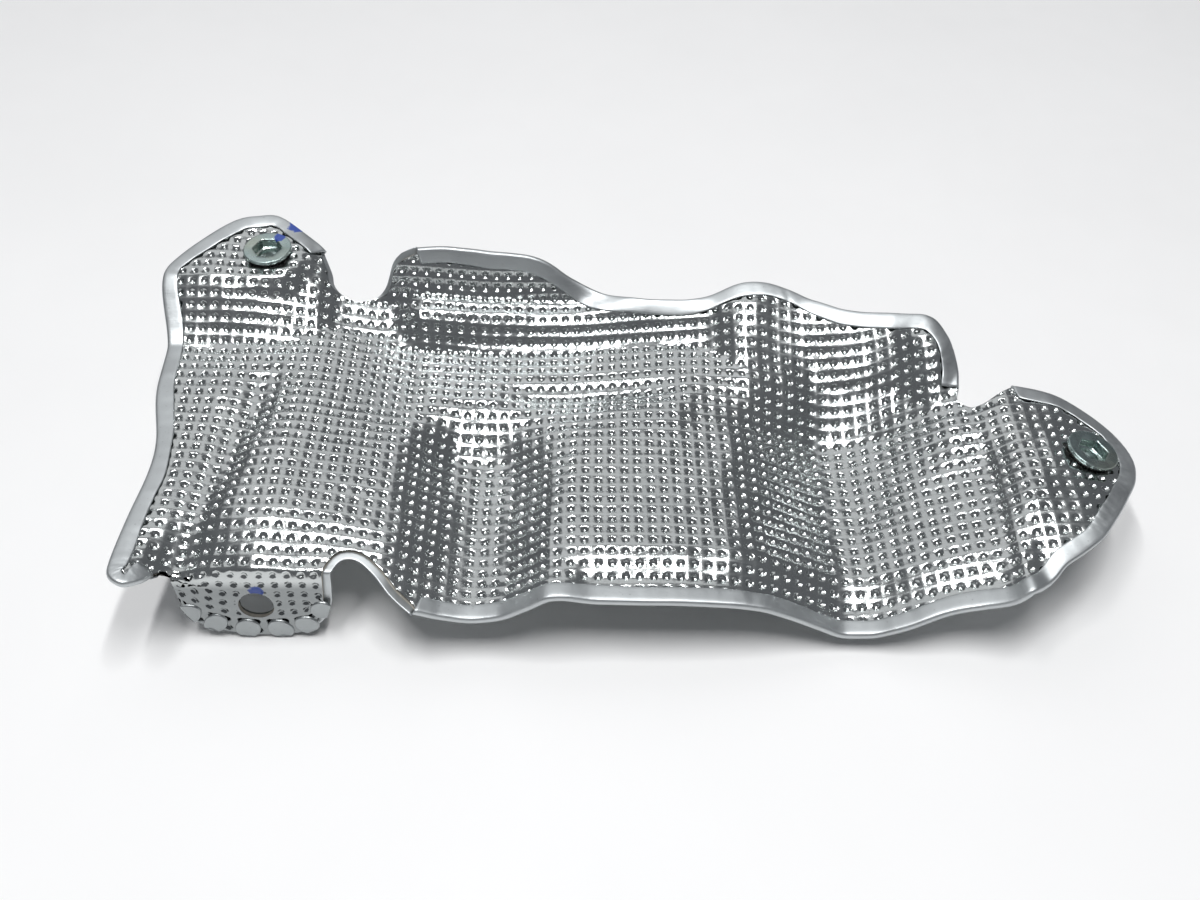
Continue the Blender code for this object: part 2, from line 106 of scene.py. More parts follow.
# Cross sections of the form: (x, height) knots along the engine.
FRONT_SECTION = [
    (-185, 9), (-165, 9), (-150, 8.5), (-122, 10.3), (-105, 7.5), (-90, 4.5), (-77, 1.5), (-66, -5),
    (-56, -11), (-46, -13.2), (-37, -11.8), (-27, -6.5), (-17, -1), (-9, 0.3), (20, 0.3), (45, -1.6),
    (57, -4), (68, -9), (79, -14.5), (90, -19), (98, -18.5), (108, -14.8), (122, -8.5), (137, -4),
    (147, -1), (153, 4), (160, 8.8), (167, 9.5), (177, 9), (190, 5.5), (207, 1),
]
BACK_SECTION = [
    (-185, 10), (-150, 9.5), (-120, 9), (-105, 6.6), (-90, 3.5), (-75, 0.6), (-45, 0.2), (-15, -0.8),
    (0, 0.5), (30, 2.8), (45, 3), (60, 3.5), (75, 1), (90, -3), (105, -2), (120, 3), (135, 9),
    (150, 10), (170, 9), (190, 5.5), (207, 1),
]
WALL_FOOT = [
    (-185, 66), (-150, 68), (-120, 73), (-108, 80), (-90, 78), (-75, 73), (-10, 75), (20, 77), (45, 72),
    (60, 60), (75, 62), (95, 56), (120, 52), (135, 40), (150, 60), (210, 80),
]
WALL_RUN = [
    (-185, 27), (-150, 24), (-120, 30), (-108, 22), (-90, 22), (-75, 11), (-10, 13), (20, 16), (45, 18),
    (60, 26), (95, 28), (120, 26), (150, 20), (210, 20),
]
WALL_RISE = [
    (-185, 17), (-150, 18.5), (-120, 16), (-108, 9), (-90, 9), (-75, 13), (-10, 10), (20, 13), (45, 12),
    (60, 14.5), (75, 17), (95, 18.5), (120, 14), (135, 8), (145, 5), (152, 0), (210, 0),
]
FLANGE_FOOT_Y = 92.8
FLANGE_BEND = 3.0
FLANGE_GRADE = 2.5

# Lesser forms: the trough and the fall of the left land, the groove behind the middle, the slopes of the
# left ear and the rear shelf, the right corner's drop and filled crease, and the lip along the front.
TROUGH_DEPTH = 3.6
LAND_FALL = 6.0
GROOVE_DEPTH = 3.2
EAR_GRADE = 0.1
SHELF_GRADE = 0.25
CORNER_DROP = 10.0
CORNER_FILL = 6.0
LIP_DROP = 4.5

LUG_FOLD_Y = -45.0
LUG_FOLD_ANGLE = math.radians(86)
LUG_BEND_RADIUS = 3.0
LUG_X = (-154.5, -92.0)
OUTLINE = [
    (True, [
        (-157, -50), (-160, -55), (-165, -58), (-170.5, -55), (-172, -48), (-171, -28), (-169, -5),
        (-170, 12), (-176, 38), (-178, 66), (-182, 90), (-177, 104), (-160, 123), (-148, 128),
        (-136, 127), (-117, 112),
    ]),
    (False, [
        (-117, 112), (-113, 104), (-111.5, 98), (-106, 94.5), (-98, 95), (-92.5, 98), (-88, 101.5),
        (-77, 101.5),
    ]),
    (True, [
        (-77, 101.5), (-50, 101.5), (-26, 101), (-12, 99.5), (0, 97), (14, 93), (28, 91.5), (43, 92),
        (66, 96), (78, 94), (90, 89), (104, 83), (124, 78), (136, 74), (142, 67), (145.5, 56),
        (145, 47),
    ]),
    (False, [(145, 47), (144, 42), (149, 37), (155, 38), (164, 43)]),
    (True, [
        (164, 43), (176, 40), (189, 34), (200, 23), (205, 10), (203, -2), (196, -14), (189, -24),
        (182, -32.5), (174, -38.5), (167, -43), (162, -48), (155, -54), (147, -56), (136, -54.5),
        (126, -54.5), (110, -56.5), (90, -56), (70, -55), (50, -55.5), (20, -56), (-10, -56),
        (-30, -57), (-50, -57), (-66, -58),
    ]),
    (False, [
        (-66, -58), (-74, -52), (-81, -44.5), (-87, -40), (-92, -40.5), (-95.5, -46), (-96.5, -56),
        (-98, -66), (-103, -75), (-112, -80), (-124, -82), (-136, -79.5), (-146, -73), (-151.5, -64),
        (-153, -54), (-154, -46.5), (-157, -50),
    ]),
]
HEM_NAMES = {0: "hem_left", 2: "hem_rear", 4: "hem_front"}
STRIP_NAMES = {1: "edge_notch_left", 3: "edge_notch_right", 5: "edge_lug"}

# By hem: creases of (place as a share of the length, half width, depth), and pleats of (start and end as
# shares of the length, wavelength, height).
CREASES = {
    0: [],
    2: [(0.30, 0.5, 0.35), (0.62, 0.45, 0.5), (0.93, 0.45, 0.4)],
    4: [(0.205, 0.5, 0.3)],
}
PLEATS = {
    0: [(0.0, 0.10, 3.1, 0.22)],
    2: [],
    4: [(0.13, 0.22, 3.4, 0.12), (0.24, 0.30, 4.0, 0.16)],
}

BUSHES = {
    "left": {"x": -140.0, "y": 105.0, "slope": (0.0, 0.05)},
    "right": {"x": 186.5, "y": 7.0, "slope": (-0.26, 0.0)},
}
SEAT_FLAT = 12.5
SEAT_BLEND = 21.0
LUG_HOLE = (-124.4, -65.5)
LUG_HOLE_RADIUS = 6.5
SHEET_HOLE_RADIUS = 7.4


def section(x, knots):
    """Height along a section through (x, height) knots, without overshoot between them."""
    xs = np.array([knot[0] for knot in knots], float)
    zs = np.array([knot[1] for knot in knots], float)
    run = np.diff(xs)
    grade = np.diff(zs) / run
    slope = np.zeros_like(zs)
    slope[0] = grade[0]
    slope[-1] = grade[-1]
    for i in range(1, len(xs) - 1):
        if grade[i - 1] * grade[i] > 0:
            before = 2 * run[i] + run[i - 1]
            after = run[i] + 2 * run[i - 1]
            slope[i] = (before + after) / (before / grade[i - 1] + after / grade[i])
    x = np.clip(x, xs[0], xs[-1])
    i = np.clip(np.searchsorted(xs, x, side="right") - 1, 0, len(run) - 1)
    t = (x - xs[i]) / run[i]
    start = (2 * t**3 - 3 * t**2 + 1) * zs[i] + (t**3 - 2 * t**2 + t) * run[i] * slope[i]
    end = (3 * t**2 - 2 * t**3) * zs[i + 1] + (t**3 - t**2) * run[i] * slope[i + 1]
    return start + end


def ease(value, low, high):
    """0 below low, 1 above high and smooth between."""
    t = np.clip((value - low) / (high - low), 0, 1)
    return t * t * (3 - 2 * t)


def bell(value, half_width):
    """1 at zero, falling smoothly away on both sides."""
    return np.exp(-((value / half_width) ** 2))


def free_form(x, y):
    """The pressed form before the bush seats are flattened into it."""
    blend_y = 33 + 17 * ease(x, 5, 60)
    back = ease(y, blend_y - 17, blend_y + 14)
    z = section(x, FRONT_SECTION) * (1 - back) + section(x, BACK_SECTION) * back
    trough_x = -136 - 0.17 * (40 - y)
    z = z - TROUGH_DEPTH * bell(x - trough_x, 8) * ease(y, -62, -40) * (1 - ease(y, 42, 60))
    z = z - GROOVE_DEPTH * bell(y - 49, 7) * ease(x, -45, -22) * (1 - ease(x, 14, 40))
    foot = section(x, WALL_FOOT)
    run = section(x, WALL_RUN)
    climb = np.clip((y - foot) / run, 0, 1)
    z = z + section(x, WALL_RISE) * 0.5 * (climb + ease(climb, 0, 1))
    beyond = np.clip(y - foot - run, 0, None)
    z = z + EAR_GRADE * beyond * (1 - ease(x, -112, -95))
    z = z + SHELF_GRADE * np.clip(beyond, 0, 10) * ease(x, -95, -80)
    flange = ease(x, -98, -84) * (1 - ease(x, -28, 10))
    up = np.clip(y - FLANGE_FOOT_Y, 0, None)
    bend = np.clip(up, 0, FLANGE_BEND)
    z = z + FLANGE_GRADE * flange * (bend**2 / (2 * FLANGE_BEND) + up - bend)
    z = z - CORNER_DROP * ease(-y, 12, 52) * ease(x, 150, 160)
    z = z + CORNER_FILL * bell(np.hypot(x - 140, (y - 28) / 1.3), 14)
    fall = LAND_FALL - 3 * ease(x, -110, -92)
    z = z - fall * ease(-y, 20, 48) * ease(x, -168, -150) * (1 - ease(x, -75, -55))
    return z - LIP_DROP * ease(-y, 33, 47) * ease(x, -20, 0) * (1 - ease(x, 135, 160))


def height(x, y):
    """Height of the visible face over the plan."""
    z = free_form(x, y)
    for bush in BUSHES.values():
        centre = free_form(np.array([bush["x"]]), np.array([bush["y"]]))[0]
        dx = x - bush["x"]
        dy = y - bush["y"]
        seat = centre + bush["slope"][0] * dx + bush["slope"][1] * dy
        keep = ease(np.hypot(dx, dy), SEAT_FLAT, SEAT_BLEND)
        z = seat + (z - seat) * keep
    return z


def placed(x, y):
    """Point of the visible face for a plan position, with the lug turned down."""
    in_lug = (x > LUG_X[0]) & (x < LUG_X[1]) & (y < LUG_FOLD_Y)
    past = np.where(in_lug, LUG_FOLD_Y - y, 0.0)
    turned = np.clip(past / LUG_BEND_RADIUS, 0, LUG_FOLD_ANGLE)
    straight = np.clip(past - LUG_FOLD_ANGLE * LUG_BEND_RADIUS, 0, None)
    y_bent = LUG_FOLD_Y - LUG_BEND_RADIUS * np.sin(turned) - straight * math.cos(LUG_FOLD_ANGLE)
    drop = LUG_BEND_RADIUS * (1 - np.cos(turned)) + straight * math.sin(LUG_FOLD_ANGLE)
    y_flat = np.where(in_lug, LUG_FOLD_Y, y)
    z = height(x, y_flat) - drop
    return np.stack([x, np.where(in_lug, y_bent, y), z], axis=-1)


def surface(plan):
    """Points and unit normals of the visible face at plan positions."""
    step = 0.25
    x = plan[:, 0]
    y = plan[:, 1]
    point = placed(x, y)
    along_x = placed(x + step, y) - placed(x - step, y)
    along_y = placed(x, y + step) - placed(x, y - step)
    normal = np.cross(along_x, along_y)
    return point, normal / np.linalg.norm(normal, axis=1, keepdims=True)


class Blank:
    """The flat blank: its second axis is the length measured over the form, not across the plan."""

    def __init__(self):
        self.xs = np.arange(-190.0, 214.0, 1.5)
        self.ys = np.arange(-95.0, 140.0, 0.5)
        grid_x, grid_y = np.meshgrid(self.xs, self.ys, indexing="ij")
        points = placed(grid_x, grid_y)
        steps = np.linalg.norm(np.diff(points, axis=1), axis=2)
        self.run = np.concatenate([np.zeros((len(self.xs), 1)), np.cumsum(steps, axis=1)], axis=1)
        middle = np.searchsorted(self.ys, 0.0)
        self.run = self.run - self.run[:, middle : middle + 1]

    def column(self, x):
        """Lengths over the form at each y, for one x."""
        place = np.clip((x - self.xs[0]) / (self.xs[1] - self.xs[0]), 0, len(self.xs) - 1.001)
        first = int(place)
        share = place - first
        return self.run[first] * (1 - share) + self.run[first + 1] * share

    def from_plan(self, plan):
        return np.array([(x, np.interp(y, self.ys, self.column(x))) for x, y in plan])

    def to_plan(self, blank):
        return np.array([(x, np.interp(t, self.column(x), self.ys)) for x, t in blank])


def curve_through(points, step):
    """Evenly spaced points on a smooth curve through the given ones, ends included."""
    points = np.array(points, float)
    padded = np.vstack([2 * points[0] - points[1], points, 2 * points[-1] - points[-2]])
    dense = []
    for i in range(1, len(padded) - 2):
        p0, p1, p2, p3 = padded[i - 1 : i + 3]
        for t in np.linspace(0, 1, 24, endpoint=False):
            bend = (2 * p0 - 5 * p1 + 4 * p2 - p3) * t**2 + (3 * p1 - p0 - 3 * p2 + p3) * t**3
            dense.append(0.5 * (2 * p1 + (p2 - p0) * t + bend))
    dense.append(points[-1])
    dense = np.array(dense)
    run = np.concatenate([[0], np.cumsum(np.linalg.norm(np.diff(dense, axis=0), axis=1))])
    count = max(2, round(run[-1] / step))
    wanted = np.linspace(0, run[-1], count + 1)
    return np.stack([np.interp(wanted, run, dense[:, k]) for k in (0, 1)], axis=1)


def smooth_loop(values, passes):
    """Values round a closed loop, averaged with their neighbours."""
    for _ in range(passes):
        values = (np.roll(values, 1, axis=0) + 2 * values + np.roll(values, -1, axis=0)) / 4
    return values


class Rim:
    """The outline on the blank, finely sampled, with its inward direction and how deep a hem reaches."""

    def __init__(self, blank, step):
        self.blank = blank
        runs = [curve_through(blank.from_plan(points), step)[:-1] for _, points in OUTLINE]
        self.spans = []
        start = 0
        for run in runs:
            self.spans.append((start, start + len(run)))
            start += len(run)
        self.points = np.vstack(runs)
        self.hemmed = np.concatenate([[flag] * len(run) for (flag, _), run in zip(OUTLINE, runs)])
        wide = 3
        tangent = np.roll(self.points, -wide, axis=0) - np.roll(self.points, wide, axis=0)
        tangent = tangent / np.linalg.norm(tangent, axis=1, keepdims=True)
        self.inward = smooth_loop(np.stack([tangent[:, 1], -tangent[:, 0]], axis=1), 4)
        self.inward = self.inward / np.linalg.norm(self.inward, axis=1, keepdims=True)
        turn = np.cross(tangent, np.roll(tangent, -1, axis=0))
        bend = smooth_loop(-np.arcsin(np.clip(turn, -1, 1)) / step, 8)
        radius = 1 / np.maximum(bend, 1e-3)
        self.reach = np.minimum(HEM_WIDTH, 0.75 * radius)
        self.reach = np.minimum(self.reach, smooth_loop(self.reach, 12) + 0.2)


def inside(points, loop):
    """Which points lie inside a closed loop."""
    found = np.zeros(len(points), bool)
    for (x0, y0), (x1, y1) in zip(loop, np.roll(loop, -1, axis=0)):
        if y1 == y0:
            continue
        crosses = (points[:, 1] < y0) != (points[:, 1] < y1)
        found ^= crosses & (points[:, 0] < x0 + (points[:, 1] - y0) / (y1 - y0) * (x1 - x0))
    return found


def nearest_on(points, loop):
    """Nearest point of a closed loop, and its distance, for each point."""
    best = np.full(len(points), 1e9)
    place = np.zeros_like(points)
    for start, end in zip(loop, np.roll(loop, -1, axis=0)):
        edge = end - start
        share = np.clip((points - start) @ edge / max(edge @ edge, 1e-9), 0, 1)
        spot = start + share[:, None] * edge
        gap = np.sum((points - spot) ** 2, axis=1)
        closer = gap < best
        best[closer] = gap[closer]
        place[closer] = spot[closer]
    return place, np.sqrt(best)


def ripple(x, y, seed, size):
    """Smooth pseudo-random waves over the plan, about unit height, with bumps of about the given size."""
    draw = np.random.default_rng(seed)
    total = np.zeros(np.shape(x))
    waves = 14
    for _ in range(waves):
        angle = draw.uniform(0, math.tau)
        rate = math.tau / (size * draw.uniform(0.7, 1.8))
        phase = draw.uniform(0, math.tau)
        total = total + np.sin(rate * (x * math.cos(angle) + y * math.sin(angle)) + phase)
    return total / math.sqrt(waves / 2)


class Drape:
    """A square lattice laid over the form so that its pitch stays even along the sheet."""

    def __init__(self, blank, outline):
        i, j = np.meshgrid(np.arange(*LATTICE_I), np.arange(*LATTICE_J), indexing="ij")
        self.x = i * (PITCH * 0.965)
        self.y = np.zeros_like(self.x)
        for k in range(len(self.x)):
            column = blank.column(self.x[k, 0])
            self.y[k] = np.interp(j[k] * PITCH, column, blank.ys)
        flat = np.stack([self.x.ravel(), self.y.ravel()], axis=1)
        _, gap = nearest_on(flat, outline)
        active = (inside(flat, outline) | (gap < 2.2 * PITCH)).reshape(self.x.shape)
        for _ in range(160):
            self.relax(active)

    def relax(self, active):
        """Moves each node a little along the form, towards its links' rest lengths."""
        step = 0.3
        point = placed(self.x, self.y)
        along_x = (placed(self.x + step, self.y) - point) / step
        along_y = (placed(self.x, self.y + step) - point) / step
        push = np.zeros_like(point)
        weight = np.zeros(self.x.shape)
        diagonal = PITCH * math.sqrt(2)
        links = ((1, 0, PITCH, 1.0), (0, 1, PITCH, 1.0), (1, 1, diagonal, 0.25), (1, -1, diagonal, 0.25))
        for di, dj, rest, stiff in links:
            a = (LINK_ENDS[di][0], LINK_ENDS[dj][0])
            b = (LINK_ENDS[di][1], LINK_ENDS[dj][1])
            both = (active[a] & active[b])[..., None]
            chord = point[b] - point[a]
            length = np.linalg.norm(chord, axis=-1, keepdims=True)
            move = np.where(both, 0.5 * stiff * (length - rest) / np.maximum(length, 1e-6) * chord, 0)
            push[a] += move
            push[b] -= move
            weight[a] += stiff * both[..., 0]
            weight[b] += stiff * both[..., 0]
        push = push / np.maximum(weight, 1)[..., None] * 1.2
        a11 = np.sum(along_x * along_x, axis=-1)
        a12 = np.sum(along_x * along_y, axis=-1)
        a22 = np.sum(along_y * along_y, axis=-1)
        b1 = np.sum(along_x * push, axis=-1)
        b2 = np.sum(along_y * push, axis=-1)
        det = a11 * a22 - a12 * a12
        self.x = self.x + (a22 * b1 - a12 * b2) / det
        self.y = self.y + (a11 * b2 - a12 * b1) / det

    def at(self, a, b):
        """Plan position at fractional lattice coordinates, on a smooth curve through the nodes."""
        a = np.clip(a - LATTICE_I[0], 1, self.x.shape[0] - 2.001)
        b = np.clip(b - LATTICE_J[0], 1, self.x.shape[1] - 2.001)
        ia = a.astype(int)
        ib = b.astype(int)
        weights = []
        for t in (a - ia, b - ib):
            weights.append([
                0.5 * (-t + 2 * t**2 - t**3),
                0.5 * (2 - 5 * t**2 + 3 * t**3),
                0.5 * (t + 4 * t**2 - 3 * t**3),
                0.5 * (t**3 - t**2),
            ])
        x = 0
        y = 0
        for p in range(4):
            for q in range(4):
                w = weights[0][p] * weights[1][q]
                x = x + w * self.x[ia + p - 1, ib + q - 1]
                y = y + w * self.y[ia + p - 1, ib + q - 1]
        return np.stack([x, y], axis=-1)


def cell_borders(nodes_i, nodes_j):
    """Lattice coordinates of the points on the cells' borders, and their ids by cell."""
    known = {}
    ids = np.zeros((len(nodes_i), len(CELL_RING)), int)
    for c in range(len(nodes_i)):
        for k, (di, dj) in enumerate(CELL_RING):
            key = (2 * nodes_i[c] + di, 2 * nodes_j[c] + dj)
            ids[c, k] = known.setdefault(key, len(known))
    places = np.array(list(known)) / 2
    return places[:, 0], places[:, 1], ids


def waves(plan):
    """The sheet's slight unevenness, in millimetres."""
    x = plan[:, 0]
    y = plan[:, 1]
    return 0.2 * ripple(x, y, 5, 48) + 0.13 * ripple(x, y, 3, 24) + 0.05 * ripple(x, y, 4, 10)


def embossed(name, drape, outline, holes, level, rings, depth, quiet, facing=1):
    """A sheet with one dimple in each cell of the lattice, trimmed to its outline and holes.

    Quiet is the stretch in from the edge over which the dimples fade in, or None. Facing is -1 for a sheet
    that is seen from below. Each hole is (centre, radius, radius that the dimples keep clear of).
    """
    count = len(CELL_RING)
    nodes_i, nodes_j = np.mgrid[slice(*CELLS_I), slice(*CELLS_J)].reshape(2, -1)
    centres = drape.at(nodes_i.astype(float), nodes_j.astype(float))
    _, gap = nearest_on(centres, outline)
    keep = inside(centres, outline) | (gap < 0.75 * PITCH)
    nodes_i = nodes_i[keep]
    nodes_j = nodes_j[keep]
    cells = len(nodes_i)
    a, b, corner_ids = cell_borders(nodes_i, nodes_j)
    even = math.atan2(CELL_RING[0][1], CELL_RING[0][0]) + np.arange(count) * math.tau / count
    draw = np.random.default_rng(7)
    shift = draw.normal(0, PLACE_SCATTER, (cells, 2))
    strength = np.clip(draw.normal(1.0, STRENGTH_SCATTER, cells), 0.7, 1.2)
    cos = np.cos(even)
    sin = np.sin(even)
    weight = strength[:, None]
    base = len(a)
    rows = [np.stack([a, b, 0 * a, 0 * a, 0 * a])]
    for radius, drop, steep in rings:
        u = nodes_i[:, None] + shift[:, :1] + radius * cos
        v = nodes_j[:, None] + shift[:, 1:] + radius * sin
        fields = [u, v, drop * weight + 0 * u, steep * weight * cos, steep * weight * sin]
        rows.append(np.stack(fields).reshape(5, -1))
    flat = np.zeros(cells)
    rows.append(np.stack([nodes_i + shift[:, 0], nodes_j + shift[:, 1], strength, flat, flat]))
    a, b, dip, lean_a, lean_b = np.concatenate(rows, axis=1)
    own_ids = np.arange(cells * count).reshape(cells, count)
    ring_ids = [base + k * cells * count + own_ids for k in range(len(rings))]
    centre_ids = base + len(rings) * cells * count + np.arange(cells)
    plan = drape.at(a, b)
    out = ~inside(plan, outline)
    edge, gap = nearest_on(plan, outline)
    fade = ease(gap, quiet[0], quiet[1]) if quiet else np.ones(len(plan))
    calm = 0.3 + 0.7 * ease(gap, 6, 14) if facing > 0 else ease(gap, 0.5, 9)
    plan[out] = edge[out]
    for centre, radius, clear in holes:
        away = plan - centre
        far = np.linalg.norm(away, axis=1)
        fade = fade * ease(far, clear, clear + 1.5)
        calm = np.minimum(calm, 0.1 + 0.9 * ease(far, clear, clear + 8))
        hit = far < radius
        out |= hit
        plan[hit] = centre + away[hit] / np.maximum(far[hit], 1e-6)[:, None] * radius
    fade[out] = 0
    dip = dip * fade
    point, normal = surface(plan)
    near = 0.2
    wave = calm * waves(plan)
    wave_x = (calm * waves(plan + [near, 0]) - wave) / near
    wave_y = (calm * waves(plan + [0, near]) - wave) / near
    along = np.stack([normal[:, 2], np.zeros(len(plan)), -normal[:, 0]], axis=1)
    along = along / np.maximum(np.linalg.norm(along, axis=1, keepdims=True), 1e-6)
    across = np.cross(normal, along)
    tilt_a = wave_x - depth * lean_a * fade / PITCH
    tilt_b = wave_y - depth * lean_b * fade / PITCH
    shading = normal - along * tilt_a[:, None] - across * tilt_b[:, None]
    shading = shading / np.linalg.norm(shading, axis=1, keepdims=True)
    point = point + normal * (level + wave - depth * dip)[:, None]
    faces = []
    levels = [corner_ids, *ring_ids]
    for outer, inner in zip(levels, levels[1:]):
        for k in range(count):
            n = (k + 1) % count
            faces.append(np.stack([outer[:, k], outer[:, n], inner[:, n], inner[:, k]], axis=1))
    quads = np.concatenate(faces)
    last = ring_ids[-1]
    tris = np.concatenate([
        np.stack([last[:, k], last[:, (k + 1) % count], centre_ids], axis=1) for k in range(count)
    ])
    quads = quads[~out[quads].all(axis=1)]
    tris = tris[~out[tris].all(axis=1)]
    if facing < 0:
        quads = quads[:, ::-1]
        tris = tris[:, ::-1]
        shading = -shading
    return mesh_of(name, point, [quads, tris], {"dip": dip, "row": b}, shading)


def add_object(name, data):
    built = bpy.data.objects.new(name, data)
    bpy.context.scene.collection.objects.link(built)
    return built


def mesh_of(name, points, face_groups, values=None, normals=None):
    """A smooth mesh in the part's frame, with unused points dropped."""
    used = np.zeros(len(points), bool)
    for group in face_groups:
        used[np.asarray(group).ravel()] = True
    index = np.cumsum(used) - 1
    faces = []
    for group in face_groups:
        faces += index[np.asarray(group)].tolist()
    mesh = bpy.data.meshes.new(name)
    mesh.from_pydata(((np.asarray(points)[used] + OFFSET) * MM).tolist(), [], faces)
    for label, value in (values or {}).items():
        layer = mesh.attributes.new(label, "FLOAT", "POINT")
        layer.data.foreach_set("value", value[used].astype(np.float32))
    mesh.validate()
    mesh.shade_smooth()
    if normals is not None:
        mesh.normals_split_custom_set_from_vertices(np.asarray(normals)[used].tolist())
    return add_object(name, mesh)


def face_outward(mesh):
    """Turns a closed mesh's faces outwards."""
    work = bmesh.new()
    work.from_mesh(mesh)
    bmesh.ops.recalc_face_normals(work, faces=work.faces)
    work.to_mesh(mesh)
    work.free()


def grid_faces(rows, columns, closed):
    """Quads between closed rows of points, numbered row by row, and back to the first row if closed."""
    faces = []
    for r in range(rows if closed else rows - 1):
        for c in range(columns):
            nr = (r + 1) % rows
            nc = (c + 1) % columns
            faces.append((r * columns + c, nr * columns + c, nr * columns + nc, r * columns + nc))
    return faces


def hem_section():
    """The folded edge in section, as (depth from the rim, level), from its foot round the fold and back."""
    middle = (HEM_TOP + OUTER_BOTTOM) / 2
    radius = (HEM_TOP - OUTER_BOTTOM) / 2
    roll = 1.15
    outer = [(HEM_FOOT, OUTER_BOTTOM), (3.0, OUTER_BOTTOM)]
    for step in range(9):
        angle = -math.pi / 2 + math.pi * step / 8
        outer.append((roll * (1 - math.cos(angle)), middle + radius * math.sin(angle)))
    outer += [(2.2, HEM_TOP + 0.05), (3.8, HEM_TOP), (5.4, HEM_TOP - 0.04)]
    outer += [(6.5, HEM_TOP - 0.1), (6.9, HEM_TOP - 0.2)]
    inner = [(7.0, HEM_TOP - 0.42), (6.8, HEM_UNDER), (4.0, HEM_UNDER), (1.6, HEM_UNDER)]
    for step in range(5):
        angle = math.pi / 2 - math.pi * step / 4
        inner.append((roll * (1 - math.cos(angle)) + 0.5, middle + (radius - 0.5) * math.sin(angle)))
    inner.append((HEM_FOOT, OUTER_TOP))
    return outer + inner


def swept(name, points):
    """A closed piece from its sections' points, indexed by section and by corner."""
    count, columns = points.shape[:2]
    first = list(range(columns))[::-1]
    last = [(count - 1) * columns + k for k in range(columns)]
    built = mesh_of(name, points.reshape(-1, 3), [grid_faces(count, columns, False), [first], [last]])
    face_outward(built.data)
    return built


def hem(name, rim, span, creases, pleats):
    """One hem: the section carried along its stretch of the rim."""
    low, high = span
    ids = np.arange(low, high + 1) % len(rim.points)
    profile = hem_section()
    run = np.arange(len(ids)) * RIM_STEP
    lip = 0.10 * ripple(run, run * 0, 21 + low, 14) + 0.05 * ripple(run, run * 0, 22 + low, 5)
    slack = 0.28 * ripple(run, run * 0, 23 + low, 26)
    points = np.zeros((len(ids), len(profile), 3))
    for k, (depth, level) in enumerate(profile):
        reach = rim.reach[ids] / HEM_WIDTH
        deep = np.where(depth > ROLL_DEPTH, ROLL_DEPTH + (depth - ROLL_DEPTH) * reach, depth)
        if depth > 6.0:
            deep = deep + slack * reach
        plan = rim.blank.to_plan(rim.points[ids] + rim.inward[ids] * deep[:, None])
        point, normal = surface(plan)
        lift = np.full(len(ids), float(level))
        if level > 0:
            share = min(depth / HEM_WIDTH, 1)
            lift = lift + lip * share
            for place, width, deep_cut in creases:
                cut = bell(run - place * run[-1] - 0.5 * depth, width)
                lift = lift - deep_cut * cut * (0.4 + 0.6 * share)
            for start, end, wave, tall in pleats:
                begun = ease(run, start * run[-1], start * run[-1] + 3)
                there = begun * (1 - ease(run, end * run[-1] - 3, end * run[-1]))
                lift = lift + tall * there * np.sin(math.tau * run / wave + 0.6 * depth) * (0.3 + 0.7 * share)
        points[:, k] = point + normal * lift[:, None]
    return swept(name, points)


def edge_strip(name, rim, span):
    """The bare edge of the outer sheet, where it isn't hemmed: a thin strip with a rounded rim."""
    low, high = span
    ids = np.arange(low, high + 1) % len(rim.points)
    middle = (OUTER_TOP + OUTER_BOTTOM) / 2
    half = (OUTER_TOP - OUTER_BOTTOM) / 2
    flat_end = STRIP_WIDTH - 0.1
    profile = [(STRIP_WIDTH, OUTER_BOTTOM), (flat_end, OUTER_BOTTOM), (0.6, OUTER_BOTTOM)]
    profile += [(0.15, OUTER_BOTTOM + 0.02), (0, middle - 0.5 * half), (0, middle + 0.5 * half)]
    profile += [(0.15, OUTER_TOP - 0.02), (0.6, OUTER_TOP), (flat_end, OUTER_TOP), (STRIP_WIDTH, OUTER_TOP)]
    points = np.zeros((len(ids), len(profile), 3))
    for k, (depth, level) in enumerate(profile):
        deep = np.minimum(depth, STRIP_SHARE * rim.reach[ids])
        plan = rim.blank.to_plan(rim.points[ids] + rim.inward[ids] * deep[:, None])
        point, normal = surface(plan)
        points[:, k] = point + normal * level
    return swept(name, points)


def ring_piece(name, points, count, matrix):
    """A closed ring of sections round the seat's axis, in millimetres, set on its seat."""
    mesh = bpy.data.meshes.new(name)
    faces = grid_faces(count, len(points) // count, True)
    mesh.from_pydata([tuple(c * MM for c in p) for p in points], [], faces)
    mesh.shade_smooth()
    face_outward(mesh)
    mesh.transform(matrix)
    return add_object(name, mesh)


def turned(name, profile, count, matrix, wobble=0.0):
    """A closed (radius, height) profile turned about the seat's axis."""
    points = []
    for step in range(count):
        angle = math.tau * step / count
        push = 1 + wobble * math.sin(7 * angle + 0.8)
        points += [(r * push * math.cos(angle), r * push * math.sin(angle), z) for r, z in profile]
    return ring_piece(name, points, count, matrix)


def nodes_for(name, metallic=1.0):
    """A new material with its node tree, its shader and object-space coordinates."""
    look = bpy.data.materials.new(name)
    look.use_nodes = True
    tree = look.node_tree
    shader = tree.nodes["Principled BSDF"]
    shader.inputs["Metallic"].default_value = metallic
    coordinates = tree.nodes.new("ShaderNodeTexCoord")
    return look, tree, shader, coordinates.outputs["Object"]


def attribute(tree, label):
    """A value carried by the mesh's points."""
    made = tree.nodes.new("ShaderNodeAttribute")
    made.attribute_name = label
    return made.outputs["Fac"]


def colour_and_roughness(tree, shader, colour, roughness):
    tree.links.new(colour, shader.inputs["Base Color"])
    tree.links.new(roughness, shader.inputs["Roughness"])


